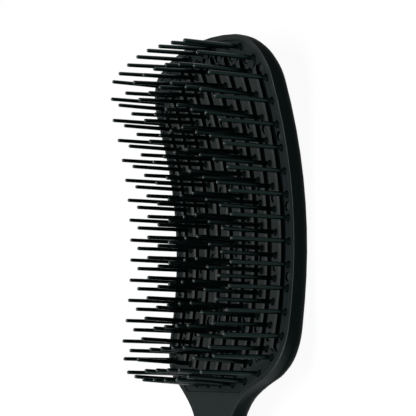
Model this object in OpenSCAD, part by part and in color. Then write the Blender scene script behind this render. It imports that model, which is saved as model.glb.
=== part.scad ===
// Curved, vented detangling brush, lying on its back with the pins up.
// X runs along the brush to the tip of the head, Y across it, and Z up, out of the pin face.
// The origin is on the table, under the middle of the brush's box.

/* [Overall] */
// Whole length, from the tip of the head to the end of the handle
overall_l = 245; // [225:1:270]
// Width of the head over its rim
head_w = 78; // [70:1:88]
// Distance from the tip of the head to the foot of the face plate
face_l = 111.8; // [108:0.1:116]
// Thickness of the head, from its rim to its back
head_t = 6.6; // [6.4:0.1:9]

/* [Bow of the head] */
// Radius of the hollow pin face, seen from the side
bow_r = 161; // [140:1:220]
// Distance from the tip to the lowest point of the bow
bow_low = 64.9; // [58:0.1:70]

/* [Outline of the head] */
// Corner radius at the tip
tip_corner_r = 16; // [13:0.5:20]
// Radius of the edge at the tip, between the corners
tip_edge_r = 114; // [90:1:200]
// Distance from where the low corners start to the foot of the face plate
corner_rise = 19; // [17:0.1:22]
// Corner radius at the handle side of the head
low_corner_r = 16; // [13:0.5:18]
// Width of the rim's top edge
rim_w = 1.6; // [1.2:0.1:2]

/* [Neck and handle] */
// Distance from the foot of the face plate to the start of the plain neck
neck_drop = 12; // [10:0.1:18]
// Width of the neck there
neck_w = 21.6; // [18:0.2:24]
// Distance from the widest place of the handle to its end
grip_in = 60; // [50:1:70]
// Width of the handle at its widest place
grip_w = 27.2; // [23:0.2:32]
// Width of the handle before its round end
end_w = 24; // [20:0.5:27]
// Height of the neck's top face above the table
neck_top = 13.7; // [12.6:0.1:15]
// Height of the neck's underside above the table
neck_under = 6.3; // [5.6:0.1:7]
// Height of the handle's top at its end
end_top = 11; // [10:0.1:13]
// Crown of the handle's top and bottom, across its width
grip_crown = 1.5; // [0.8:0.1:2.2]
// Distance from where the handle rests on the table to its end
rest_in = 21; // [17:1:33]
// How far the foot of the head's side wall flares out beside the neck
flare_out = 1.1; // [0:0.1:2.5]
// Distance from the foot of the face plate to the middle of the flare, towards the tip
flare_rise = 6; // [0:0.5:9]
// Length over which the flare dies out, each way
flare_reach = 8; // [6:0.5:14]

/* [Handle shells] */
// Wall of the two handle shells
shell_wall = 2.2; // [1.6:0.1:2.8]
// Distance from the foot of the face plate to the front end of the handle's back shell
shell_drop = 22.2; // [18:0.1:28]
// Distance of the back shell's end from the end of the handle
shell_tail = 26; // [24:1:32]
// Width of the flat strip between the back shell and the handle's side
shell_inset = 4.6; // [4:0.1:5.5]
// Diameter of the hole for hanging the brush up
hang_d = 7; // [5:0.5:9]
// Distance from the hole's middle to the end of the handle
hang_in = 12; // [10:0.5:14]
// Diameter of the pegs that hold the back shell
shell_peg_d = 4; // [3:0.1:5]
// Length of those pegs above the shell
shell_peg_l = 4; // [3:0.1:5]

/* [Face plate] */
// Depth of the face plate's underside below the top of the rim
plate_t = 1.8; // [1.5:0.1:2]
// How far the face plate lies below the top of the rim
plate_sunk = 0.3; // [0.1:0.05:0.4]
// Width of the ledge in the rim that carries the plate's edge
plate_ledge = 0.5; // [0.3:0.1:0.7]
// Width of a slot between two slats
slot_w = 2.9; // [2.2:0.1:3.2]
// Bevel on the long edges of the slats
slat_bevel = 0.5; // [0.3:0.05:0.7]
// Distance from the tip to the end of the middle slot
slot_tip_in = 4.8; // [4.6:0.1:6]
// How much sooner the outermost slots end, at the tip
slot_tip_arch = 8.7; // [8.4:0.1:9.5]
// Distance from the foot of the plate to the end of the middle slot
slot_foot_in = 5.4; // [4.6:0.1:6.4]
// How much sooner the outermost slots end, at the foot
slot_foot_arch = 7.2; // [6:0.1:8.5]
// Slots on each side of the middle one
side_slots = 4; // [4:1:4]

/* [Pins] */
// Length of a pin above the face plate
pin_l = 19.4; // [14:0.1:24]
// Diameter of a pin where it leaves the face plate
pin_d = 1.46; // [1.2:0.02:1.6]
// Diameter of a pin at its round tip
pin_tip_d = 1.24; // [0.8:0.02:1.3]
// Diameter of the hole in the face plate round each pin
pin_hole_d = 2.3; // [2:0.05:2.6]
// Distance between two rows of pins
row_pitch = 7; // [6.6:0.1:7.6]
// Distance from the tip to the middle pin of the border columns
mid_pin_in = 60.3; // [59:0.1:62]
// Distance from the outside of the rim to the first pin of the middle columns, at the tip
pin_tip_in = 3.4; // [3.4:0.1:4.6]
// Distance from the foot of the plate to the last pin of the middle columns
pin_foot_in = 2.4; // [2:0.1:3]
// Distance of the border pins from the outside of the rim
border_in = 3.5; // [3.3:0.1:4]
// How far the tips of the pins at the bow's lowest point stand outwards of their feet
pin_splay = 1.8; // [0:0.1:2.4]

/* [Pin strips] */
// Thickness of the strip that joins the pins of a row
strip_t = 1.5; // [1.2:0.1:1.7]
// Width of a strip
strip_w = 4.4; // [3.6:0.1:4.6]
// Diameter of the pegs that fix a strip to the face plate
peg_d = 2.3; // [1.8:0.1:2.4]
// Diameter of the holes for those pegs
peg_hole_d = 2.9; // [2.6:0.1:3.1]
// How far a peg ends below the face
peg_sunk = 0.35; // [0.2:0.05:0.6]
// Pins from one peg to the next
peg_step = 3; // [3:1:4]
// Pegs on each strip
peg_count = 5; // [4:1:5]

/* [Back grille] */
// Thickness of the grille in the back of the head
grille_t = 1.6; // [1.4:0.1:1.8]
// Distance from the outside of the rim to the edge of the grille
grille_in = 5.6; // [5.2:0.1:6.2]
// Width of the seat that the grille rests on
seat_w = 2; // [1.5:0.1:2.5]
// Width of a crossbar of the grille
crossbar_w = 4; // [3:0.1:5]
// Number of crossbars
crossbars = 5; // [4:1:6]

/* [Hidden] */
$fn = 48;

// Clearance between seated pieces, and the overrun of every cut
fit = 0.15;
over = 1;
// Fine steps for the long arcs of the bow
bow_fn = 360;

half_w = head_w / 2;
tip_x = overall_l / 2;
end_x = tip_x - overall_l;
low_x = tip_x - bow_low;
foot_x = tip_x - face_l;
axis_z = bow_r + head_t;
neck_at = face_l + neck_drop;
grip_at = overall_l - grip_in;
rest_at = overall_l - rest_in;
shell_from = face_l + shell_drop;
flare_x = foot_x + flare_rise;
end_r = end_w / 2;

// Radii about the bow's axis: top and underside of the plate, of the strips, top of the grille, and the back
face_r = bow_r + plate_sunk;
plate_r = bow_r + plate_t;
strip_r = plate_r + fit + strip_t;
grille_r = bow_r + head_t - grille_t;
back_r = bow_r + head_t;

// Corner centres of the head's outline
tip_centre_x = tip_x - tip_edge_r;
tip_corner = [tip_centre_x + sqrt(pow(tip_edge_r - tip_corner_r, 2) - pow(half_w - tip_corner_r, 2)),
    half_w - tip_corner_r];
low_corner = [foot_x + corner_rise, half_w - low_corner_r];
// Angle at which the tip's edge runs into its corner
tip_angle = atan2(tip_corner[1], tip_corner[0] - tip_centre_x);

// Steps of the outline: tip edge, tip corner, side, low corner, neck, grip, tail, round end
tip_steps = 4;
corner_steps = 12;
side_steps = 10;
neck_steps = 9;
grip_steps = 8;
tail_steps = 6;
end_steps = 10;

// Angle at which the low corner runs out into the neck, and the angle of the neck's own side
low_angle = 158;
neck_angle = 7;
// How strongly the neck's curve is pulled along its ends, as shares of the neck's width
pull_out_share = 0.37;
pull_in_share = 0.35;
// The same along the handle's two curves, as shares of each curve's length along the brush
pull_grip_shares = [0.23, 0.333];
pull_tail_shares = [0.425, 0.375];

// Edge rounding as shares of the side's height: top and bottom edge, in the head and in the grip
head_round_shares = [0.02, 0.66];
grip_round_shares = [0.42, 0.5];
round_steps = 5;
// Places across the handle, as shares of its half width, where its crown is drawn
crown_shares = [0.8, 0.5, 0.2, -0.2, -0.5, -0.8];
// Share of the end's radius over which the crown runs out
dome_share = 0.9;
// Heights over which the bend between the bow and the neck is rounded off, on top and underneath
bend_top = 0.8;
bend_under = 5.6;
// How far the flare reaches up the side wall, as a share of its height in steps
flare_up_share = 0.4;

// Steps along the back shell's inner face
shell_steps = 20;
// Places of the back shell's pegs, as shares of its length from its middle
shell_peg_shares = [-0.38, 0, 0.38];

// Pin columns on each side of the centre, from the centre out
column_count = 5;
// How far each column's rows stand ahead of the border's, as a share of the row pitch
arch_shares = [1.45, 1.4, 0.93, 0.5, 0];
// Least gap between a row and the end pin of its column, at the tip and at the foot
end_gap_shares = [0.9, 0.4];
// Gap at the tip, in row pitches, that is wide enough for one more pin
wide_gap_share = 1.3;
// End pins that stand in the corners, by their angle about the corner and their share of its radius
tip_pin_angles = [19, 52];
tip_pin_shares = [0.77, 0.72];
low_pin_angles = [-15, 13, 45];
low_pin_shares = [1.01, 0.85, 0.76];
// How far the border pins stand outside the outermost slots, in slot pitches
border_step_share = 0.4375;
// Steps of a strip's round end
strip_end_steps = 10;
// Lean of each column's pins towards the bow's lowest point, as a share of their distance from it:
// those on the tip's side of that point, and those on the handle's side
tip_lean_shares = [0.022, 0.024, 0.02, 0.008, 0.012];
low_lean_shares = [0.03, 0.035, 0.035, 0.015, 0.012];
// Reach of the outward splay along the brush, as a share of the face's length
splay_share = 0.11;

function ease(t) = let (u = min(1, max(0, t))) u * u * (3 - 2 * u);
function bezier(a, b, c, d, n) = [for (i = [1:n]) let (t = i / n, u = 1 - t)
    u * u * u * a + 3 * u * u * t * b + 3 * u * t * t * c + t * t * t * d];
function turn(r, a) = [r * cos(a), r * sin(a)];
// Lesser of two heights, with the corner between them rounded off over a height k
function soft_min(a, b, k) = min(a, b) - pow(max(0, k - abs(a - b)), 2) / (4 * k);

// Height of the surface at a radius about the bow's axis
function bow_z(x, r) = axis_z - sqrt(max(0, r * r - pow(x - low_x, 2)));
// Share of the way from the neck into the grip, nought in the head and one in the grip
function grip_share(x) = ease((tip_x - neck_at - x) / (grip_at - neck_at));
function crown(x) = grip_crown * grip_share(x);

// Middle line of the top and of the underside, seen from the side
neck_x = tip_x - neck_at;
function handle_top(x) = neck_top - (neck_top - end_top) * max(0, (neck_x - x) / (neck_x - end_x));
function handle_under(x) = let (u = min(1, max(0, (foot_x - x) / (rest_at - face_l))))
    neck_under * (1 + cos(180 * u)) / 2;
function top_z(x) = x > low_x ? bow_z(x, bow_r) : soft_min(bow_z(x, bow_r), handle_top(x), bend_top);
function under_z(x) = x > low_x ? bow_z(x, back_r) : soft_min(bow_z(x, back_r), handle_under(x), bend_under);
// The same lines at the sides, where the crown has run out
function top_edge(x) = top_z(x) - crown(x);
function under_edge(x) = under_z(x) + crown(x);
function side_h(x) = top_edge(x) - under_edge(x);
function round_share(x, k) =
    head_round_shares[k] + (grip_round_shares[k] - head_round_shares[k]) * grip_share(x);
function top_round(x) = side_h(x) * round_share(x, 0);
function under_round(x) = side_h(x) * round_share(x, 1);

// Half of the outline, from the middle of the tip to the middle of the handle's end
low_end = low_corner + turn(low_corner_r, low_angle);
neck_p = [neck_x, neck_w / 2];
grip_p = [tip_x - grip_at, grip_w / 2];
tail_p = [end_x + end_r, end_r];
head_half = concat(
    [for (i = [0:tip_steps - 1]) [tip_centre_x, 0] + turn(tip_edge_r, tip_angle * i / tip_steps)],
    [for (i = [0:corner_steps])
        tip_corner + turn(tip_corner_r, tip_angle + (90 - tip_angle) * i / corner_steps)],
    [for (i = [1:side_steps]) [tip_corner[0] + (low_corner[0] - tip_corner[0]) * i / side_steps, half_w]],
    [for (i = [1:corner_steps]) low_corner + turn(low_corner_r, 90 + (low_angle - 90) * i / corner_steps)]);
handle_half = concat(
    bezier(low_end, low_end + turn(neck_w * pull_out_share, low_angle + 90),
        neck_p + turn(neck_w * pull_in_share, neck_angle), neck_p, neck_steps),
    bezier(neck_p, neck_p - turn((neck_p - grip_p)[0] * pull_grip_shares[0], neck_angle),
        grip_p + [(neck_p - grip_p)[0] * pull_grip_shares[1], 0], grip_p, grip_steps),
    bezier(grip_p, grip_p - [(grip_p - tail_p)[0] * pull_tail_shares[0], 0],
        tail_p + [(grip_p - tail_p)[0] * pull_tail_shares[1], 0], tail_p, tail_steps),
    [for (i = [1:end_steps]) [tail_p[0], 0] + turn(end_r, 90 + 90 * i / end_steps)]);
half = concat(head_half, handle_half);
n_half = len(half) - 1;

// Outward direction of the outline at one of its points
function outward(i) = i == 0 ? [1, 0] : i == n_half ? [-1, 0] :
    let (d = half[i + 1] - half[i - 1]) [d[1], -d[0]] / norm(d);
function inset_point(i, d) = half[i] - d * outward(i);

// Rings of the skin, from the flat top edge round the side to the flat underside
// Outward flare of the side wall's foot beside the neck
function flare(x) = flare_out * exp(-pow((x - flare_x) / flare_reach, 2));
function ring_inset(x, k) = k <= round_steps
    ? top_round(x) * (1 - sin(90 * k / round_steps)) - flare(x) * flare_up_share * max(0, k - 1) / round_steps
    : under_round(x) * (1 - cos(90 * (k - round_steps - 1) / round_steps)) - flare(x);
function ring_z(x, k) = k <= round_steps
    ? top_edge(x) - top_round(x) * (1 - cos(90 * k / round_steps))
    : under_edge(x) + under_round(x) * (1 - sin(90 * (k - round_steps - 1) / round_steps));
function ring_half(k) = [for (i = [0:n_half])
    let (p = inset_point(i, ring_inset(half[i][0], k))) [p[0], p[1], ring_z(p[0], k)]];
function mirrored(ps) = [for (i = [n_half - 1:-1:1]) [ps[i][0], -ps[i][1], ps[i][2]]];
// The crown runs out towards the handle's round end
function dome(y) = let (u = min(1, y / (end_r * dome_share))) sqrt(u * (2 - u));
function crown_row(p, h) = [for (s = crown_shares) [p[0], p[1] * s, p[2] + h * dome(p[1]) * (1 - s * s)]];

rings = 2 * round_steps + 2;
ring_n = 2 * n_half;
crown_n = len(crown_shares);

module skin() {
    halves = [for (k = [0:rings - 1]) ring_half(k)];
    ring_points = [for (h = halves) each concat(h, mirrored(h))];
    top = halves[0];
    under = halves[rings - 1];
    top_points = [for (i = [1:n_half - 1]) each crown_row(top[i], crown(top[i][0]))];
    under_points = [for (i = [1:n_half - 1]) each crown_row(under[i], -crown(under[i][0]))];
    top_base = len(ring_points);
    under_base = top_base + len(top_points);
    last = (rings - 1) * ring_n;
    function cap_id(ring, base, i, j) = j == 0 ? ring + i : j == crown_n + 1 ? ring + ring_n - i
        : base + (i - 1) * crown_n + j - 1;
    function cap(ring, base) = concat(
        [for (j = [0:crown_n]) [ring, cap_id(ring, base, 1, j), cap_id(ring, base, 1, j + 1)]],
        [for (j = [0:crown_n])
            [ring + n_half, cap_id(ring, base, n_half - 1, j + 1), cap_id(ring, base, n_half - 1, j)]],
        [for (i = [1:n_half - 2], j = [0:crown_n]) each
            let (a = cap_id(ring, base, i, j), b = cap_id(ring, base, i + 1, j),
                c = cap_id(ring, base, i + 1, j + 1), d = cap_id(ring, base, i, j + 1))
            [[a, b, c], [a, c, d]]]);
    function turned(fs) = [for (f = fs) [f[2], f[1], f[0]]];
    sides = [for (k = [0:rings - 2], i = [0:ring_n - 1]) each
        let (j = (i + 1) % ring_n, a = k * ring_n + i, b = k * ring_n + j, c = a + ring_n, d = b + ring_n)
        [[a, b, d], [a, d, c]]];
    polyhedron(concat(ring_points, top_points, under_points),
        concat(sides, turned(cap(0, top_base)), cap(last, under_base)), convexity = 6);
}

// Plan of the head, drawn in from the outside of the rim by d, and cut off at the plate's foot
module head_plan(d) {
    line = [for (i = [0:n_half]) inset_point(i, d)];
    intersection() {
        polygon(concat(line, [for (i = [n_half - 1:-1:1]) [line[i][0], -line[i][1]]]));
        translate([foot_x + d - rim_w, -half_w]) square([face_l, head_w]);
    }
}

// Solid between two radii about the bow's axis, as wide as the head
module bow_slab(inner, outer) {
    translate([low_x, 0, axis_z]) rotate([90, 0, 0]) difference() {
        cylinder(r = outer, h = head_w + 2 * over, center = true, $fn = bow_fn);
        cylinder(r = inner, h = head_w + 4 * over, center = true, $fn = bow_fn);
    }
}

// Part of the bow between two radii whose plan is the child shape
module bowed(inner, outer) {
    intersection() {
        linear_extrude(axis_z / 2) children();
        bow_slab(inner, outer);
    }
}

// Everything on the pin side of one radius, within the child shape's plan
module above_bow(r) {
    intersection() {
        linear_extrude(axis_z / 2) children();
        translate([low_x, 0, axis_z]) rotate([90, 0, 0])
            cylinder(r = r, h = head_w + 2 * over, center = true, $fn = bow_fn);
    }
}

// The slots are spread evenly between the border pins
slot_pitch = (half_w - border_in) / (side_slots + border_step_share);
slot_rows = [for (k = [-side_slots:side_slots]) k * slot_pitch];
slot_half = side_slots * slot_pitch;
function slot_to(y) = tip_x - slot_tip_in - slot_tip_arch * pow(y / slot_half, 2) - slot_w / 2;
function slot_from(y) = foot_x + slot_foot_in + slot_foot_arch * pow(y / slot_half, 2) + slot_w / 2;

module slot_plan(y, w) {
    translate([slot_from(y), y - w / 2]) square([slot_to(y) - slot_from(y), w]);
    for (x = [slot_from(y), slot_to(y)]) translate([x, y]) circle(w / 2);
}

// Slots right through the plate, with a bevel along both edges
module slots() {
    for (y = slot_rows) {
        linear_extrude(axis_z / 2) slot_plan(y, slot_w);
        intersection() {
            linear_extrude(axis_z / 2) slot_plan(y, slot_w + 2 * slat_bevel);
            translate([low_x, y, axis_z]) rotate([90, 0, 0]) rotate_extrude($fn = bow_fn)
                polygon([[face_r - over, -slot_w / 2 - slat_bevel - over],
                    [face_r - over, slot_w / 2 + slat_bevel + over],
                    [face_r + slat_bevel, slot_w / 2], [face_r + slat_bevel, -slot_w / 2]]);
        }
    }
}

// Pin columns: the middle ones are half a slot pitch out, and the border ones follow the rim
function column_y(c) = c == column_count - 1 ? half_w - border_in : (c + 0.5) * slot_pitch;
// How many of the columns with an end pin in a corner lie inside this one, or less than none
function corner_rank(c, ranks) = c - column_count + len(ranks);
function tip_pin(c) = let (k = corner_rank(c, tip_pin_angles)) k < 0
    ? [tip_centre_x + sqrt(pow(tip_edge_r - pin_tip_in, 2) - pow(column_y(c), 2)), column_y(c)]
    : tip_corner + turn(tip_corner_r * tip_pin_shares[k], tip_pin_angles[k]);
function low_pin(c) = let (k = corner_rank(c, low_pin_angles)) k < 0
    ? [foot_x + pin_foot_in, column_y(c)]
    : low_corner + turn(low_corner_r * low_pin_shares[k], 180 - low_pin_angles[k]);

// The rows between are a pitch apart and arched, with one more pin where the gap at the tip is wide
row_reach = ceil(face_l / row_pitch);
function row_x(c, n) = tip_x - mid_pin_in + row_pitch * (n + arch_shares[c]);
function column_pins(c) =
    let (first = tip_pin(c), last = low_pin(c),
        rows = [for (n = [row_reach:-1:-row_reach]) let (x = row_x(c, n))
            if (x < first[0] - end_gap_shares[0] * row_pitch && x > last[0] + end_gap_shares[1] * row_pitch)
                [x, column_y(c)]],
        wide = first[0] - rows[0][0] > wide_gap_share * row_pitch)
    concat([first], wide ? [(first + rows[0]) / 2] : [], rows, [last]);
pins = [for (c = [0:column_count - 1]) column_pins(c)];
pegs = [for (ps = pins) [for (k = [0:peg_count - 1]) if (k * peg_step + 1 < len(ps))
    (ps[k * peg_step] + ps[k * peg_step + 1]) / 2]];

// Shift of a pin's tip from its foot: towards the bow's lowest point, and outwards near it
function tip_shift(c, x) = [(x > low_x ? tip_lean_shares[c] : low_lean_shares[c]) * (low_x - x),
    c == column_count - 1 ? 0 : pin_splay * exp(-pow((x - low_x) / (face_l * splay_share), 2))];

// One pin from inside its strip to its round tip, standing on its foot at the origin
pin_foot = plate_t + fit;
module pin() {
    tip_r = pin_tip_d / 2;
    rotate_extrude($fn = 16) {
        polygon([[0, -strip_t / 2], [pin_d / 2, -strip_t / 2], [pin_d / 2, pin_foot],
            [tip_r, pin_foot + pin_l - tip_r], [0, pin_foot + pin_l - tip_r]]);
        translate([0, pin_foot + pin_l - tip_r]) intersection() {
            circle(tip_r);
            square(tip_r);
        }
    }
}

// Plan of a strip: a round-ended bar under its pins that bends with the end pins of the outer columns
module strip_plan(c, side, w) {
    n = len(pins[c]);
    bends = [0, corner_rank(c, tip_pin_angles) < 0 ? undef : 1,
        corner_rank(c, low_pin_angles) < 0 ? undef : n - 2, n - 1];
    line = [for (i = bends) if (i != undef) [pins[c][i][0], side * pins[c][i][1]]];
    last = len(line) - 1;
    function along(i) = (line[i + 1] - line[i]) / norm(line[i + 1] - line[i]);
    // Step across the bar at a bend, long enough to keep the bar's width round it
    function across(i) = let (t = (along(i - 1) + along(i)) / 2) [-t[1], t[0]] / (t * t) * w / 2;
    function round_end(p, t) = let (a = atan2(t[1], t[0]))
        [for (k = [0:strip_end_steps]) p + turn(w / 2, a + 90 - 180 * k / strip_end_steps)];
    polygon(concat(
        [for (i = [1:1:last - 1]) line[i] + across(i)], round_end(line[last], along(last - 1)),
        [for (i = [last - 1:-1:1]) line[i] - across(i)], round_end(line[0], -along(0))));
}

// The tray under the plate's edge leaves a ledge of the rim for the plate to rest on
tray_in = rim_w + plate_ledge;
module pin_strip(c, side) {
    w = c == column_count - 1 ? 2 * (border_in - rim_w) : strip_w;
    color("#1b1b1c") {
        bowed(plate_r + fit, strip_r) intersection() {
            strip_plan(c, side, w);
            head_plan(tray_in + fit);
        }
        for (p = pins[c]) {
            shift = tip_shift(c, p[0]);
            translate([p[0], side * p[1], bow_z(p[0], plate_r + fit)])
                rotate([-side * atan(shift[1] / pin_l), atan(shift[0] / pin_l), 0]) pin();
        }
        for (p = pegs[c]) translate([p[0], side * p[1], bow_z(p[0], plate_r + fit) - strip_t / 2])
            cylinder(d = peg_d, h = strip_t / 2 + plate_t - plate_sunk - peg_sunk);
    }
}

module face_plate() {
    color("#232324") difference() {
        bowed(face_r, plate_r) head_plan(rim_w + fit);
        slots();
        for (side = [-1, 1], c = [0:column_count - 1]) {
            for (p = pins[c]) translate([p[0], side * p[1], 0])
                cylinder(d = pin_hole_d, h = axis_z / 2, $fn = 24);
            for (p = pegs[c]) translate([p[0], side * p[1], 0])
                cylinder(d = peg_hole_d, h = axis_z / 2, $fn = 24);
        }
    }
}

// The strips lie on the frame's inner flange at the border and on the grille's crossbars between
flange_in = grille_in + seat_w;
bars_from = foot_x + flange_in - rim_w;
bars_pitch = (tip_x - flange_in - bars_from) / crossbars;
module back_grille() {
    color("#1e1e1f") {
        difference() {
            bowed(grille_r, back_r) head_plan(grille_in + fit);
            for (y = slot_rows) linear_extrude(axis_z / 2) intersection() {
                slot_plan(y, slot_w);
                head_plan(flange_in);
            }
        }
        for (k = [0:crossbars - 1]) bowed(strip_r + fit, grille_r + fit) intersection() {
            translate([bars_from + (k + 0.5) * bars_pitch - crossbar_w / 2, -half_w])
                square([crossbar_w, head_w]);
            head_plan(flange_in + fit);
        }
    }
}

// Plan of the handle's back shell, drawn in by d
module shell_plan(d) {
    line = [for (i = [0:n_half]) let (p = inset_point(i, shell_inset + d))
        if (p[0] < tip_x - shell_from - d && p[0] > end_x + shell_tail + d) p];
    polygon(concat(line, [for (i = [len(line) - 1:-1:0]) [line[i][0], -line[i][1]]]));
}

// The back shell, or the room for it where d is nought, follows the handle's underside
module shell_block(d) {
    from = end_x + shell_tail - over;
    step = (tip_x - shell_from + over - from) / shell_steps;
    top = [for (i = [0:shell_steps]) let (x = from + i * step) [x, under_z(x) + shell_wall + fit - d]];
    intersection() {
        translate([0, 0, -over]) linear_extrude(neck_top) shell_plan(d);
        rotate([90, 0, 0]) linear_extrude(head_w, center = true)
            polygon(concat(top, [[top[shell_steps][0], -over], [from, -over]]));
    }
}

// Pegs of the back shell, spread along its middle line
shell_mid = tip_x - (shell_from + overall_l - shell_tail) / 2;
shell_pegs = [for (s = shell_peg_shares) shell_mid + s * (overall_l - shell_tail - shell_from)];

module handle_back() {
    color("#1e1e1f") {
        intersection() {
            skin();
            shell_block(fit);
        }
        for (x = shell_pegs) translate([x, 0, under_z(x) + shell_wall / 2])
            cylinder(d = shell_peg_d, h = shell_wall / 2 + shell_peg_l);
    }
}

module frame_handle() {
    color("#28292a") difference() {
        skin();
        above_bow(plate_r + fit) head_plan(rim_w);
        above_bow(strip_r + fit) head_plan(tray_in);
        above_bow(back_r + over) head_plan(flange_in);
        bowed(grille_r - fit, back_r + over) head_plan(grille_in);
        shell_block(0);
        for (x = shell_pegs) translate([x, 0, 0])
            cylinder(d = shell_peg_d + 2 * fit, h = under_z(x) + shell_wall + shell_peg_l + 2 * fit);
        translate([end_x + hang_in, 0, -over]) cylinder(d = hang_d, h = neck_top + over);
    }
}

frame_handle();
face_plate();
back_grille();
handle_back();
pin_strip(4, -1);  // pin_strip_1
pin_strip(3, -1);  // pin_strip_2
pin_strip(2, -1);  // pin_strip_3
pin_strip(1, -1);  // pin_strip_4
pin_strip(0, -1);  // pin_strip_5
pin_strip(0, 1);  // pin_strip_6
pin_strip(1, 1);  // pin_strip_7
pin_strip(2, 1);  // pin_strip_8
pin_strip(3, 1);  // pin_strip_9
pin_strip(4, 1);  // pin_strip_10
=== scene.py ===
"""Looks, light and camera of a curved, vented detangling brush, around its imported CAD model.

Every length named _mm is in millimetres. The brush lies on its back: X runs to the tip of the head,
Y across it and Z up, out of the pin face.
"""

from __future__ import annotations

import logging
import math
from dataclasses import dataclass
from enum import Enum

import bmesh
import bpy
from mathutils import Matrix, Vector


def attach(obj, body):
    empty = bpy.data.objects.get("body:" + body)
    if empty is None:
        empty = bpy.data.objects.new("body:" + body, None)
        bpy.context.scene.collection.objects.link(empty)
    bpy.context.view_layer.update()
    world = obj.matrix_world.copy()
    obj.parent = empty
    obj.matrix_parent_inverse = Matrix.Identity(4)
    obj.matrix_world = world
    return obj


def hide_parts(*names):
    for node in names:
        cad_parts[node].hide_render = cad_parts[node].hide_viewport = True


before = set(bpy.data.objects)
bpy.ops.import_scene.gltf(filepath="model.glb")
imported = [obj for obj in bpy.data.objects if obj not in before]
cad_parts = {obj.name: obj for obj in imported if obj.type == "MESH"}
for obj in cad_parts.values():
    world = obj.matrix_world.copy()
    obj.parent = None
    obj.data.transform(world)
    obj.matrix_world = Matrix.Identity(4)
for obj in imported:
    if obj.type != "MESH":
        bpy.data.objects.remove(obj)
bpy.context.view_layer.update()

LOG = logging.getLogger("brush")
ROOT = "root"
WHITE = "#ffffff"
# Metres in a millimetre
MM = 0.001
# A copy's corners closer than the first are joined, and edges shorter than the second are dropped
WELD_MM = 0.002
SLIVER_MM = 0.001
# The sockets of a Mix node that is set to colours
FACTOR, FIRST, SECOND, MIXED = 0, 6, 7, 2
# How many octaves a pattern has, and how strong each is beside the one before
FLOW_NOISE = {"Detail": 2.0, "Roughness": 0.5}
HANDLING_NOISE = {"Detail": 4.0, "Roughness": 0.6}
GRAIN_NOISE = {"Detail": 3.0, "Roughness": 0.6}
# The levels of the handling's noise between which the gloss wears off
WEAR_BAND = (0.35, 0.65)
# n * n * (1 - n) is at its most at the first, and comes to the second there
EDGE_RISE = 2 / 3
EDGE_CURVE_TOP = 4 / 27
# Rays sent from each point to find the edges near it
EDGE_SAMPLES = 8


class Slot(Enum):
    """The record's material slots."""

    FRAME = "frame_plastic"
    FACE = "face_plastic"
    BACK = "back_plastic"
    PINS = "pin_plastic"


def linear(hex_colour: str) -> tuple[float, float, float, float]:
    """Turn an sRGB colour to linear.

    Args:
        hex_colour: six hex digits after a hash.

    Returns:
        Linear red, green and blue, with a full alpha.
    """
    values = [int(hex_colour[i:i + 2], 16) / 255 for i in (1, 3, 5)]
    r, g, b = (v / 12.92 if v <= 0.04045 else ((v + 0.055) / 1.055) ** 2.4 for v in values)
    return r, g, b, 1.0


def add_node(tree: bpy.types.NodeTree, kind: str, settings: dict[str, object] | None = None,
             inputs: dict[str | int, object] | None = None) -> bpy.types.Node:
    """Add a node with its settings, values and links.

    Args:
        tree: node tree that takes the node.
        kind: Blender's name of the node's type.
        settings: attributes of the node.
        inputs: values for its inputs, or the output sockets that feed them.

    Returns:
        The new node.
    """
    node = tree.nodes.new(kind)
    for name, value in (settings or {}).items():
        setattr(node, name, value)
    for name, value in (inputs or {}).items():
        if isinstance(value, bpy.types.NodeSocket):
            tree.links.new(value, node.inputs[name])
        else:
            node.inputs[name].default_value = value
    return node


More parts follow.
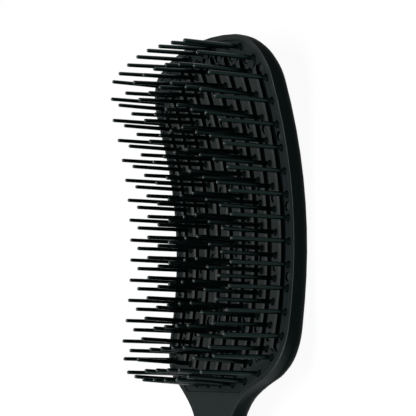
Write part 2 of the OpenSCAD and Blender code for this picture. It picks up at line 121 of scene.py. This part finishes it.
@dataclass(frozen=True)
class MouldedPlastic:
    """A plastic as its mould leaves it: one dark resin with flow marks, a fine grain and handling.

    The colour barely changes over the surface. What the eye reads is how the gloss changes: it is
    broken by the grain, duller where hands have been, and strong only on the rounded edges between
    the walls and the top, which the hair polishes.

    roughness and specular belong to the fresh, flat surface, worn_roughness to the handled one and
    edge_specular to the edges, which edge_mm rounds. The other lengths are the sizes of the patterns.
    """

    name: str
    colour: str
    flow_colour: str
    roughness: float
    worn_roughness: float
    specular: float
    edge_specular: float
    grain_mm: float
    grain_depth_mm: float
    flow_mm: tuple[float, float, float]
    handling_mm: float = 22.0
    edge_mm: float = 0.05
    # A painted colour on the light that the walls reflect
    tint: str = WHITE
    ior: float = 1.53

    def colour_over(self, tree: bpy.types.NodeTree, place: bpy.types.NodeSocket,
                    flow: bpy.types.NodeSocket) -> bpy.types.NodeSocket:
        """Spread the resin's colour over the piece.

        Args:
            tree: node tree of the material.
            place: object coordinates.
            flow: strength of the flow marks.

        Returns:
            The colour's socket.
        """
        return add_node(tree, "ShaderNodeMix", {"data_type": "RGBA"}, {
            FACTOR: flow, FIRST: linear(self.colour), SECOND: linear(self.flow_colour)}).outputs[MIXED]

    def rise(self, tree: bpy.types.NodeTree, normal: bpy.types.NodeSocket) -> bpy.types.NodeSocket:
        """Tell how level the surface lies.

        Args:
            tree: node tree of the material.
            normal: world normal.

        Returns:
            A socket that is nought on a wall and below, and one on a level top.
        """
        own = add_node(tree, "ShaderNodeVectorTransform", {
            "vector_type": "NORMAL", "convert_from": "WORLD", "convert_to": "OBJECT"}, {0: normal})
        axes = add_node(tree, "ShaderNodeSeparateXYZ", inputs={"Vector": own.outputs[0]}).outputs
        return add_node(tree, "ShaderNodeClamp", inputs={"Value": axes["Z"]}).outputs[0]

    def edges(self, tree: bpy.types.NodeTree, rise: bpy.types.NodeSocket) -> bpy.types.NodeSocket:
        """Tell the rounded edges from the walls and the level tops.

        Args:
            tree: node tree of the material.
            rise: how level the surface lies, with the edges rounded.

        Returns:
            A socket that is nought on a wall and on a level top, and EDGE_CURVE_TOP between them.
        """
        square = add_node(tree, "ShaderNodeMath", {"operation": "MULTIPLY"}, {0: rise, 1: rise})
        slope = add_node(tree, "ShaderNodeMath", {"operation": "SUBTRACT"}, {0: 1.0, 1: rise})
        return add_node(tree, "ShaderNodeMath", {"operation": "MULTIPLY"}, {
            0: square.outputs[0], 1: slope.outputs[0]}).outputs[0]

    def material(self) -> bpy.types.Material:
        """Build the node material.

        Returns:
            The finish's material.
        """
        material = bpy.data.materials.new(self.name)
        material.use_nodes = True
        tree = material.node_tree
        tree.nodes.clear()
        place = add_node(tree, "ShaderNodeTexCoord").outputs["Object"]
        # A scale of 1 / (MM * size) makes a noise's cells size millimetres wide
        flow_place = add_node(tree, "ShaderNodeMapping", inputs={
            "Vector": place, "Scale": [1 / (MM * size) for size in self.flow_mm]})
        flow = add_node(tree, "ShaderNodeTexNoise", inputs={
            "Vector": flow_place.outputs["Vector"], "Scale": 1.0, **FLOW_NOISE})
        colour = self.colour_over(tree, place, flow.outputs["Fac"])
        handling = add_node(tree, "ShaderNodeTexNoise", inputs={
            "Vector": place, "Scale": 1 / (MM * self.handling_mm), **HANDLING_NOISE})
        gloss = add_node(tree, "ShaderNodeMapRange", inputs={
            "Value": handling.outputs["Fac"], "From Min": WEAR_BAND[0], "From Max": WEAR_BAND[1],
            "To Min": self.roughness, "To Max": self.worn_roughness})
        grain = add_node(tree, "ShaderNodeTexNoise", inputs={
            "Vector": place, "Scale": 1 / (MM * self.grain_mm), **GRAIN_NOISE})
        normal = add_node(tree, "ShaderNodeBevel", {"samples": EDGE_SAMPLES}, {
            "Radius": self.edge_mm * MM}).outputs["Normal"]
        rise = self.rise(tree, normal)
        level = add_node(tree, "ShaderNodeMapRange", inputs={
            "Value": self.edges(tree, rise), "From Max": EDGE_CURVE_TOP,
            "To Min": self.specular, "To Max": self.edge_specular})
        # The sheen of the walls is tinted: the blue-green on the light that they reflect is painted, and
        # level tops reflect white
        untinted = add_node(tree, "ShaderNodeMapRange", inputs={"Value": rise, "From Max": EDGE_RISE})
        tint = add_node(tree, "ShaderNodeMix", {"data_type": "RGBA"}, {
            FACTOR: untinted.outputs["Result"], FIRST: linear(self.tint), SECOND: linear(WHITE)})
        relief = add_node(tree, "ShaderNodeBump", inputs={
            "Strength": 1.0, "Distance": self.grain_depth_mm * MM, "Height": grain.outputs["Fac"],
            "Normal": normal})
        shader = add_node(tree, "ShaderNodeBsdfPrincipled", inputs={
            "Base Color": colour, "Roughness": gloss.outputs["Result"],
            "Specular IOR Level": level.outputs["Result"], "Specular Tint": tint.outputs[MIXED],
            "IOR": self.ior, "Normal": relief.outputs["Normal"]})
        add_node(tree, "ShaderNodeOutputMaterial", inputs={"Surface": shader.outputs["BSDF"]})
        return material


@dataclass(frozen=True)
class BorderedPlastic(MouldedPlastic):
    """A moulding whose border is darker than the field that it frames. On the face, the darker border is
    painted shade.

    The field reaches from foot_mm to tip_mm along the brush, and half_width_mm to each side. arch_mm is
    how much sooner it ends at its sides, and over blend_mm the two colours run together.
    """

    border_colour: str = "#1d2324"
    half_width_mm: float = 32.5
    tip_mm: float = 117.0
    foot_mm: float = 13.5
    arch_mm: float = 8.0
    blend_mm: float = 3.0

    def colour_over(self, tree: bpy.types.NodeTree, place: bpy.types.NodeSocket,
                    flow: bpy.types.NodeSocket) -> bpy.types.NodeSocket:
        """Spread the colour of the field, and that of the border round it.

        Args:
            tree: node tree of the material.
            place: object coordinates.
            flow: strength of the flow marks.

        Returns:
            The colour's socket.
        """
        middle_mm, reach_mm = (self.tip_mm + self.foot_mm) / 2, (self.tip_mm - self.foot_mm) / 2
        centred = add_node(tree, "ShaderNodeMapping", inputs={
            "Vector": place, "Location": (-middle_mm * MM, 0.0, 0.0)}).outputs["Vector"]
        away = add_node(tree, "ShaderNodeVectorMath", {"operation": "ABSOLUTE"}, {0: centred})
        axes = add_node(tree, "ShaderNodeSeparateXYZ", inputs={"Vector": away.outputs["Vector"]}).outputs
        # The ends of the field are arched, so the border is deeper at the sides
        square = add_node(tree, "ShaderNodeMath", {"operation": "MULTIPLY"}, {0: axes["Y"], 1: axes["Y"]})
        along = add_node(tree, "ShaderNodeMath", {"operation": "MULTIPLY_ADD"}, {
            0: square.outputs[0], 1: self.arch_mm / (self.half_width_mm ** 2 * MM), 2: axes["X"]})
        past_side, past_end = (
            add_node(tree, "ShaderNodeMapRange", inputs={
                "Value": distance, "From Min": (limit_mm - self.blend_mm) * MM, "From Max": limit_mm * MM})
            for distance, limit_mm in ((axes["Y"], self.half_width_mm), (along.outputs[0], reach_mm)))
        border = add_node(tree, "ShaderNodeMath", {"operation": "MAXIMUM"}, {
            0: past_side.outputs["Result"], 1: past_end.outputs["Result"]})
        # On the face, the darker border is painted shade along the rim and at the foot
        return add_node(tree, "ShaderNodeMix", {"data_type": "RGBA"}, {
            FACTOR: border.outputs[0], FIRST: super().colour_over(tree, place, flow),
            SECOND: linear(self.border_colour)}).outputs[MIXED]


@dataclass(frozen=True)
class SlattedPlastic(BorderedPlastic):
    """A bordered field that is cut by slots and holes, whose smooth walls are painted dark as shade.

    wall_rise says how level the surface lies where the painted shade of the walls starts to fade, and where
    it is gone.
    """

    wall_shade_colour: str = "#060808"
    wall_rise: tuple[float, float] = (0.3, 0.7)

    def colour_over(self, tree: bpy.types.NodeTree, place: bpy.types.NodeSocket,
                    flow: bpy.types.NodeSocket) -> bpy.types.NodeSocket:
        """Spread the colour of the top, and the painted shade on the walls of its slots and holes.

        Args:
            tree: node tree of the material.
            place: object coordinates.
            flow: strength of the flow marks.

        Returns:
            The colour's socket.
        """
        rise = self.rise(tree, add_node(tree, "ShaderNodeNewGeometry").outputs["Normal"])
        level = add_node(tree, "ShaderNodeMapRange", inputs={
            "Value": rise, "From Min": self.wall_rise[0], "From Max": self.wall_rise[1]})
        # The walls of the slots and holes take painted shade, almost black
        return add_node(tree, "ShaderNodeMix", {"data_type": "RGBA"}, {
            FACTOR: level.outputs["Result"], FIRST: linear(self.wall_shade_colour),
            SECOND: super().colour_over(tree, place, flow)}).outputs[MIXED]


@dataclass(frozen=True)
class PinPlastic(MouldedPlastic):
    """The plastic of the pins, and the paler colour of their feet and pegs in the bowed face.

    The axis of the bow runs across the brush at bow_x_mm and bow_z_mm. Nearer to it than pins_to_mm a
    strip has the colour of the pins, and further off than pegs_from_mm that of the pegs.
    """

    peg_colour: str = "#2c3130"
    bow_x_mm: float = 57.6
    bow_z_mm: float = 167.6
    pins_to_mm: float = 159.6
    pegs_from_mm: float = 160.6

    def colour_over(self, tree: bpy.types.NodeTree, place: bpy.types.NodeSocket,
                    flow: bpy.types.NodeSocket) -> bpy.types.NodeSocket:
        """Spread the colour of the pins, and below the face that of the pegs.

        Args:
            tree: node tree of the material.
            place: object coordinates.
            flow: strength of the flow marks.

        Returns:
            The colour's socket.
        """
        # The distance from the axis tells the pins from the pegs
        from_axis = add_node(tree, "ShaderNodeMapping", inputs={
            "Vector": place, "Location": (-self.bow_x_mm * MM, 0.0, -self.bow_z_mm * MM),
            "Scale": (1.0, 0.0, 1.0)}).outputs["Vector"]
        away = add_node(tree, "ShaderNodeVectorMath", {"operation": "LENGTH"}, {0: from_axis})
        pegs = add_node(tree, "ShaderNodeMapRange", inputs={
            "Value": away.outputs["Value"], "From Min": self.pins_to_mm * MM,
            "From Max": self.pegs_from_mm * MM})
        return add_node(tree, "ShaderNodeMix", {"data_type": "RGBA"}, {
            FACTOR: pegs.outputs["Result"], FIRST: super().colour_over(tree, place, flow),
            SECOND: linear(self.peg_colour)}).outputs[MIXED]


# The real grain of every finish is about 0.1 mm, and it is drawn coarser so that it shows

# ABS, moulded in a spark-eroded cavity: an even satin black with a fine grain that softens the sheen.
# The lip's rounded edge catches the lamp in one thin line. The field is the neck and the handle, and
# the border is the rim of the head, which is darker.
SATIN_ABS = BorderedPlastic(
    name="satin_moulded_abs", colour="#272c2b", flow_colour="#2b302f",
    roughness=0.46, worn_roughness=0.56, specular=0.012, edge_specular=0.7,
    grain_mm=0.35, grain_depth_mm=0.006, flow_mm=(60.0, 14.0, 14.0), edge_mm=0.25,
    border_colour="#1f2524", half_width_mm=60.0, tip_mm=12.0, foot_mm=-300.0, arch_mm=0.0)
# The face's ABS, from a cavity that is eroded a little coarser over the slats. Its border is painted darker
# than the slats, as painted shade along the rim and at the foot. The walls of the slots and holes are
# smooth, so that they slip off the mould, and are painted almost black as the shade inside them.
FACE_ABS = SlattedPlastic(
    name="slatted_moulded_abs", colour="#272c2b", flow_colour="#2d3230",
    roughness=0.34, worn_roughness=0.44, specular=0.04, edge_specular=0.5,
    grain_mm=0.45, grain_depth_mm=0.004, flow_mm=(30.0, 8.0, 8.0), edge_mm=0.08)
# Polypropylene, moulded with a matt grain, in the back pieces: waxy and dull.
MATT_PP = MouldedPlastic(
    name="matt_moulded_polypropylene", colour="#242827", flow_colour="#292d2c",
    roughness=0.50, worn_roughness=0.60, specular=0.04, edge_specular=0.2,
    grain_mm=0.40, grain_depth_mm=0.008, flow_mm=(45.0, 12.0, 12.0), edge_mm=0.3, ior=1.49)
# Nylon, moulded half glossy, in the pins: each carries a line of reflected light, whose faint blue-green
# is painted, and its tip, polished by the hair, a bright point.
PIN_NYLON = PinPlastic(
    name="half_gloss_moulded_nylon", colour="#050b0a", flow_colour="#080f0e",
    roughness=0.20, worn_roughness=0.28, specular=0.17, edge_specular=1.0,
    grain_mm=0.30, grain_depth_mm=0.002, flow_mm=(3.0, 3.0, 12.0), tint="#bcfff8")


def fair_copy(node: str, name: str, crease_deg: float) -> bpy.types.Object:
    """Copy a CAD node, join its loose triangles and give its curves smooth shading.

    Args:
        node: name of the CAD node that the copy stands for.
        name: name of the new piece.
        crease_deg: edges that turn more than this stay sharp.

    Returns:
        The new piece, riding on the body.
    """
    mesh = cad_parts[node].data.copy()
    mesh.name = name
    solid = bmesh.new()
    solid.from_mesh(mesh)
    bmesh.ops.remove_doubles(solid, verts=solid.verts, dist=WELD_MM * MM)
    bmesh.ops.dissolve_degenerate(solid, dist=SLIVER_MM * MM, edges=solid.edges)
    for face in solid.faces:
        face.smooth = True
    for edge in solid.edges:
        edge.smooth = len(edge.link_faces) == 2 and edge.calc_face_angle() < math.radians(crease_deg)
    solid.to_mesh(mesh)
    solid.free()
    mesh.materials.clear()
    piece = bpy.data.objects.new(name, mesh)
    bpy.context.scene.collection.objects.link(piece)
    weighted = piece.modifiers.new("even_shading", "WEIGHTED_NORMAL")
    weighted.keep_sharp = True
    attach(piece, ROOT)
    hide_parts(node)
    return piece


@dataclass(frozen=True)
class Moulding:
    """One moulded piece: the CAD node that it stands for, its name, its slot and its crease angle."""

    node: str
    name: str
    slot: Slot
    crease_deg: float = 32.0

    def build(self) -> bpy.types.Object:
        """Make the piece from its CAD node.

        Returns:
            The piece, without its finish.
        """
        return fair_copy(self.node, self.name, self.crease_deg)

    def dress(self, piece: bpy.types.Object, material: bpy.types.Material) -> None:
        """Give the piece its finish.

        Args:
            piece: the piece.
            material: its finish's material.
        """
        piece.data.materials.append(material)
        LOG.info("%s: %d faces, %s", piece.name, len(piece.data.polygons), material.name)


@dataclass
class Body:
    """The one moulding that is rim, neck and handle."""

    shell: Moulding = Moulding("frame_handle", "frame_and_handle", Slot.FRAME)

    def make(self) -> None:
        """Build and dress the body."""
        self.shell.dress(self.shell.build(), SATIN_ABS.material())


@dataclass
class Face:
    """The bowed plate with its slots and its holes for pins and pegs."""

    plate: Moulding = Moulding("face_plate", "slotted_face", Slot.FACE)

    def make(self) -> None:
        """Build and dress the face."""
        self.plate.dress(self.plate.build(), FACE_ABS.material())


@dataclass
class PinRows:
    """The strips under the face, each with its row of pins."""

    count: int = 10
    crease_deg: float = 40.0

    def make(self) -> None:
        """Build and dress every strip."""
        material = PIN_NYLON.material()
        for number in range(1, self.count + 1):
            strip = Moulding(f"pin_strip_{number}", f"pin_row_{number}", Slot.PINS, self.crease_deg)
            strip.dress(strip.build(), material)


@dataclass
class Back:
    """The vented back of the head and the back shell of the handle."""

    parts: tuple[Moulding, ...] = (
        Moulding("back_grille", "vented_back", Slot.BACK),
        Moulding("handle_back", "handle_back_shell", Slot.BACK))

    def make(self) -> None:
        """Build and dress the back pieces."""
        material = MATT_PP.material()
        for part in self.parts:
            part.dress(part.build(), material)


@dataclass(frozen=True)
class Viewpoint:
    """The camera, where the photograph was taken from: beside the brush, turned on its side."""

    eye_mm: tuple[float, float, float] = (17.3, -316.1, 181.4)
    forward: tuple[float, float, float] = (0.1439, 0.875, -0.4622)
    up: tuple[float, float, float] = (0.9896, -0.1309, 0.0602)
    lens_mm: float = 97.04
    sensor_mm: float = 36.0
    near_mm: float = 10.0
    far_mm: float = 100000.0

    def make(self) -> None:
        """Create the camera and make it the scene's own."""
        ahead = Vector(self.forward).normalized()
        right = ahead.cross(Vector(self.up)).normalized()
        upward = right.cross(ahead)
        data = bpy.data.cameras.new("camera")
        data.lens, data.sensor_width = self.lens_mm, self.sensor_mm
        data.clip_start, data.clip_end = self.near_mm * MM, self.far_mm * MM
        camera = bpy.data.objects.new("camera", data)
        camera.matrix_world = Matrix.Translation(Vector(self.eye_mm) * MM) @ Matrix(
            (right, upward, -ahead)).transposed().to_4x4()
        bpy.context.scene.collection.objects.link(camera)
        bpy.context.scene.camera = camera


@dataclass(frozen=True)
class SoftLamp:
    """A square soft box that looks at one point."""

    name: str
    place_mm: tuple[float, float, float]
    aim_mm: tuple[float, float, float]
    side_mm: float
    watts: float
    colour: str = WHITE

    def make(self) -> None:
        """Hang the lamp."""
        data = bpy.data.lights.new(self.name, "AREA")
        data.size, data.energy = self.side_mm * MM, self.watts
        data.color = linear(self.colour)[:3]
        lamp = bpy.data.objects.new(self.name, data)
        place = Vector(self.place_mm) * MM
        aim = (Vector(self.aim_mm) * MM - place).to_track_quat("-Z", "Y")
        lamp.matrix_world = Matrix.Translation(place) @ aim.to_matrix().to_4x4()
        bpy.context.scene.collection.objects.link(lamp)


@dataclass
class Studio:
    """A white floor without edges, two soft lamps and a dim room that is pale at the horizon.

    pale_to and dim_from are heights over the horizon, as the sine of their angle.
    """

    floor_side_mm: float = 40000.0
    floor_glow: float = 0.945
    floor_colour: str = "#4c4c4c"
    room_light: float = 0.03
    pale_to: float = 0.10
    dim_from: float = 0.22
    lamps: tuple[SoftLamp, ...] = (
        SoftLamp("over_the_face", place_mm=(60.0, 60.0, 620.0), aim_mm=(30.0, 0.0, 0.0),
                 side_mm=420.0, watts=3.9),
        SoftLamp("beside_the_camera", place_mm=(-260.0, -520.0, 320.0), aim_mm=(20.0, 0.0, 10.0),
                 side_mm=300.0, watts=0.9, colour="#c8ffff"))

    def make(self) -> None:
        """Lay the floor, light the room and hang the lamps."""
        scene = bpy.context.scene
        scene.view_settings.view_transform = "Standard"
        self.lay_floor()
        self.light_room()
        for lamp in self.lamps:
            lamp.make()

    def seen_directly(self, tree: bpy.types.NodeTree) -> bpy.types.NodeSocket:
        """Tell the rays that see the background.

        Args:
            tree: node tree that asks.

        Returns:
            A socket that is one for camera, glossy and transmission rays, and nought for the rest.
        """
        path = add_node(tree, "ShaderNodeLightPath")
        either = add_node(tree, "ShaderNodeMath", {"operation": "MAXIMUM"}, {
            0: path.outputs["Is Camera Ray"], 1: path.outputs["Is Glossy Ray"]})
        return add_node(tree, "ShaderNodeMath", {"operation": "MAXIMUM"}, {
            0: either.outputs[0], 1: path.outputs["Is Transmission Ray"]}).outputs[0]

    def lay_floor(self) -> None:
        """Lay a wide floor that glows white and still takes the brush's shadow."""
        mesh = bpy.data.meshes.new("floor")
        plane = bmesh.new()
        bmesh.ops.create_grid(plane, x_segments=1, y_segments=1, size=self.floor_side_mm * MM / 2)
        plane.to_mesh(mesh)
        plane.free()
        floor = bpy.data.objects.new("floor", mesh)
        bpy.context.scene.collection.objects.link(floor)
        material = bpy.data.materials.new("white_paper_sweep")
        material.use_nodes = True
        tree = material.node_tree
        tree.nodes.clear()
        glow = add_node(tree, "ShaderNodeMath", {"operation": "MULTIPLY"}, {
            0: self.seen_directly(tree), 1: self.floor_glow})
        light = add_node(tree, "ShaderNodeEmission", inputs={"Strength": glow.outputs[0]})
        paper = add_node(tree, "ShaderNodeBsdfDiffuse", inputs={"Color": linear(self.floor_colour)})
        both = add_node(tree, "ShaderNodeAddShader", inputs={0: light.outputs[0], 1: paper.outputs[0]})
        add_node(tree, "ShaderNodeOutputMaterial", inputs={"Surface": both.outputs[0]})
        mesh.materials.append(material)

    def light_room(self) -> None:
        """Make the room pale at the horizon and dim above, as a hall behind a lit floor is."""
        world = bpy.data.worlds.new("dim_room")
        bpy.context.scene.world = world
        world.use_nodes = True
        tree = world.node_tree
        tree.nodes.clear()
        place = add_node(tree, "ShaderNodeTexCoord").outputs["Generated"]
        height = add_node(tree, "ShaderNodeSeparateXYZ", inputs={"Vector": place}).outputs["Z"]
        seen = add_node(tree, "ShaderNodeMapRange", {"interpolation_type": "SMOOTHSTEP"}, {
            "Value": height, "From Min": self.pale_to, "From Max": self.dim_from,
            "To Min": 1.0, "To Max": self.room_light})
        level = add_node(tree, "ShaderNodeMapRange", inputs={
            "Value": self.seen_directly(tree), "To Min": self.room_light, "To Max": seen.outputs["Result"]})
        room = add_node(tree, "ShaderNodeBackground", inputs={
            "Color": linear(WHITE), "Strength": level.outputs["Result"]})
        add_node(tree, "ShaderNodeOutputWorld", inputs={"Surface": room.outputs[0]})


def main() -> None:
    """Build the brush piece by piece, then the studio round it."""
    logging.basicConfig(level=logging.INFO, format="%(message)s")
    for assembly in (Body(), Face(), PinRows(), Back()):
        assembly.make()
    Studio().make()
    Viewpoint().make()


if __name__ == "__main__":
    main()
